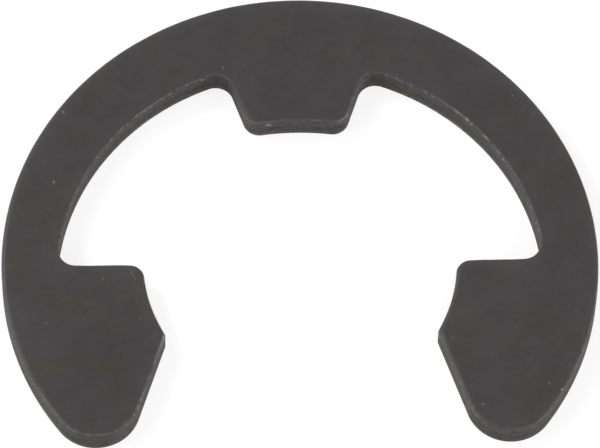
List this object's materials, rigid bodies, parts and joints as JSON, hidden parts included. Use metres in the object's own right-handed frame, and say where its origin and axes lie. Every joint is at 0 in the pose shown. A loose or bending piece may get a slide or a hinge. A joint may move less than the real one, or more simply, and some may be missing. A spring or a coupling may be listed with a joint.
{
  "type": "e-clip",
  "caption": "Open retaining ring of flat spring steel that is pushed sideways into a shaft's groove, held by curved prongs and a tab.",
  "frame": {"origin": "middle of the seat circle that the prongs' bites lie on, in the plane of the underside", "axes": "+Z along the shaft's axis, out of the upper face; +Y from the mouth to the crown; +X across the clip; the clip lies flat on its underside"},
  "size_m": [0.036, 0.0294, 0.0018],
  "materials": {
    "phosphated_spring_steel": "black phosphate and oil over hardened spring steel, even matt charcoal grey, fine grained"
  },
  "bodies": {
    "root": {"e_clip": "phosphated_spring_steel"}
  },
  "joints": []
}
